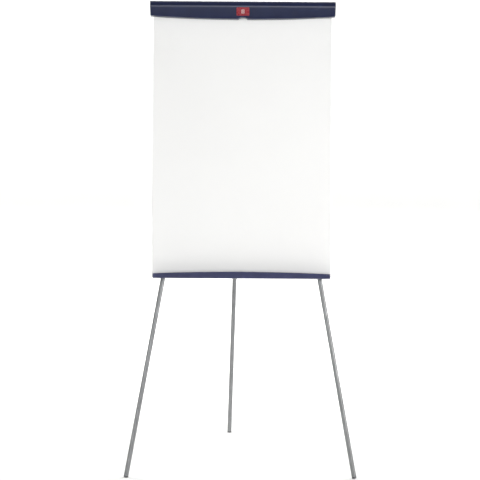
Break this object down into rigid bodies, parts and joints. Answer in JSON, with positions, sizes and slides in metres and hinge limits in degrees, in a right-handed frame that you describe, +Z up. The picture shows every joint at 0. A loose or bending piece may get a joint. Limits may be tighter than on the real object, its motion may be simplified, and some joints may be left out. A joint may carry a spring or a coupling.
{
  "type": "flipchart easel",
  "caption": "Leaning flipchart easel with a white writing board, hinged sprung clamp bar, sliding pad hooks, pen tray and telescopic tripod legs that fold flat.",
  "frame": {"origin": "centre of the footprint of the whole easel at rest, on the floor", "axes": "+Z up, -Y towards the person who reads or writes on the board, +X to that person's right"},
  "size_m": [0.8844, 0.7784, 1.7995],
  "materials": {
    "white_enamel": "smooth gloss enamel",
    "fibre_core": "raw fibreboard",
    "galvanised_sheet": "galvanised, dull",
    "navy_plastic": "satin navy",
    "navy_tray_plastic": "satin navy, lighter",
    "red_badge": "satin dark red",
    "silver_tube": "silver-grey powder coat",
    "bright_steel": "zinc plated",
    "black_plastic": "moulded, fine grain",
    "grey_foot_plastic": "dark grey, matt",
    "grip_rubber": "extruded, matt"
  },
  "bodies": {
    "board": {"face_sheet": "white_enamel", "board_core": "fibre_core", "back_sheet": "galvanised_sheet", "pen_tray": "navy_tray_plastic", "tray_end_left": "navy_tray_plastic", "tray_end_right": "navy_tray_plastic", "tray_screw_left": "bright_steel", "tray_screw_middle": "bright_steel", "tray_screw_right": "bright_steel", "clamp_bracket_left": "bright_steel", "clamp_bracket_middle": "bright_steel", "clamp_bracket_right": "bright_steel", "clamp_hinge_rod": "bright_steel", "clamp_spring_left": "bright_steel", "clamp_spring_right": "bright_steel", "head_rail": "galvanised_sheet", "head_rail_screw_1": "bright_steel", "head_rail_screw_2": "bright_steel", "head_rail_screw_3": "bright_steel", "head_rail_screw_4": "bright_steel", "left_leg_rivet": "bright_steel", "right_leg_rivet": "bright_steel", "rear_hinge_pin": "bright_steel", "guide_rail": "galvanised_sheet", "guide_rail_screw_left": "bright_steel", "guide_rail_screw_right": "bright_steel"},
    "clamp_bar": {"clamp_bar_cover": "navy_plastic", "clamp_bar_end_left": "navy_plastic", "clamp_bar_end_right": "navy_plastic", "grip_strip": "grip_rubber", "badge_plate": "red_badge"},
    "pad_hook_left": {"pad_hook_left": "bright_steel"},
    "hook_nut_left": {"hook_nut_left": "black_plastic"},
    "pad_hook_right": {"pad_hook_right": "bright_steel"},
    "hook_nut_right": {"hook_nut_right": "black_plastic"},
    "rear_yoke": {"rear_yoke": "galvanised_sheet", "rear_sway_rivet": "bright_steel"},
    "left_leg": {"left_leg_head": "black_plastic", "left_leg_outer_tube": "silver_tube", "left_leg_collar": "black_plastic"},
    "left_leg_lower": {"left_leg_inner_tube": "silver_tube", "left_leg_bush": "black_plastic", "left_leg_foot": "grey_foot_plastic"},
    "left_leg_knob": {"left_leg_knob": "black_plastic"},
    "right_leg": {"right_leg_head": "black_plastic", "right_leg_outer_tube": "silver_tube", "right_leg_collar": "black_plastic"},
    "right_leg_lower": {"right_leg_inner_tube": "silver_tube", "right_leg_bush": "black_plastic", "right_leg_foot": "grey_foot_plastic"},
    "right_leg_knob": {"right_leg_knob": "black_plastic"},
    "rear_leg": {"rear_leg_head": "black_plastic", "rear_leg_outer_tube": "silver_tube", "rear_leg_collar": "black_plastic"},
    "rear_leg_lower": {"rear_leg_inner_tube": "silver_tube", "rear_leg_bush": "black_plastic", "rear_leg_foot": "grey_foot_plastic"},
    "rear_leg_knob": {"rear_leg_knob": "black_plastic"}
  },
  "joints": [
    {"name": "clamp_bar_open", "type": "hinge", "parent": "board", "child": "clamp_bar", "pos_m": [0, -0.14003, 1.79008], "axis": [-1, 0, 0], "range_deg": [0, 50], "stiffness_Nm_per_rad": 0.8, "springref_deg": -28.65},
    {"name": "pad_hook_left_slide", "type": "slide", "parent": "board", "child": "pad_hook_left", "axis": [1, 0, 0], "range_m": [-0.05, 0.05]},
    {"name": "hook_nut_left_turn", "type": "hinge", "parent": "pad_hook_left", "child": "hook_nut_left", "pos_m": [-0.23, -0.11848, 1.755], "axis": [0, 0.989, -0.1478], "range_deg": [0, 720]},
    {"name": "pad_hook_right_slide", "type": "slide", "parent": "board", "child": "pad_hook_right", "axis": [1, 0, 0], "range_m": [-0.05, 0.05]},
    {"name": "hook_nut_right_turn", "type": "hinge", "parent": "pad_hook_right", "child": "hook_nut_right", "pos_m": [0.23, -0.11848, 1.755], "axis": [0, 0.989, -0.1478], "range_deg": [0, 720]},
    {"name": "rear_leg_fold", "type": "hinge", "parent": "board", "child": "rear_yoke", "pos_m": [0, -0.08383, 1.68916], "axis": [-1, 0, 0], "range_deg": [0, 23.5]},
    {"name": "left_leg_swing", "type": "hinge", "parent": "board", "child": "left_leg", "pos_m": [-0.1273, -0.12735, 1.69566], "axis": [0, -0.989, 0.1478], "range_deg": [0, 10.1]},
    {"name": "left_leg_telescope", "type": "slide", "parent": "left_leg", "child": "left_leg_lower", "axis": [0.176, 0.1455, 0.9736], "range_m": [0, 0.72]},
    {"name": "left_leg_knob_turn", "type": "hinge", "parent": "left_leg", "child": "left_leg_knob", "pos_m": [-0.2935, -0.26473, 0.77642], "axis": [0, 0.989, -0.1478], "range_deg": [0, 720]},
    {"name": "right_leg_swing", "type": "hinge", "parent": "board", "child": "right_leg", "pos_m": [0.1273, -0.12735, 1.69566], "axis": [0, 0.989, -0.1478], "range_deg": [0, 10.1]},
    {"name": "right_leg_telescope", "type": "slide", "parent": "right_leg", "child": "right_leg_lower", "axis": [-0.176, 0.1455, 0.9736], "range_m": [0, 0.72]},
    {"name": "right_leg_knob_turn", "type": "hinge", "parent": "right_leg", "child": "right_leg_knob", "pos_m": [0.2935, -0.26473, 0.77642], "axis": [0, 0.989, -0.1478], "range_deg": [0, 720]},
    {"name": "rear_leg_sway", "type": "hinge", "parent": "rear_yoke", "child": "rear_leg", "pos_m": [0, -0.07488, 1.65665], "axis": [0, -0.9641, -0.2656], "range_deg": [0, 2.9]},
    {"name": "rear_leg_telescope", "type": "slide", "parent": "rear_leg", "child": "rear_leg_lower", "axis": [0.0253, -0.2655, 0.9638], "range_m": [0, 0.7]},
    {"name": "rear_leg_knob_turn", "type": "hinge", "parent": "rear_leg", "child": "rear_leg_knob", "pos_m": [-0.02389, 0.17578, 0.74664], "axis": [0, 0.9641, 0.2656], "range_deg": [0, 720]}
  ]
}
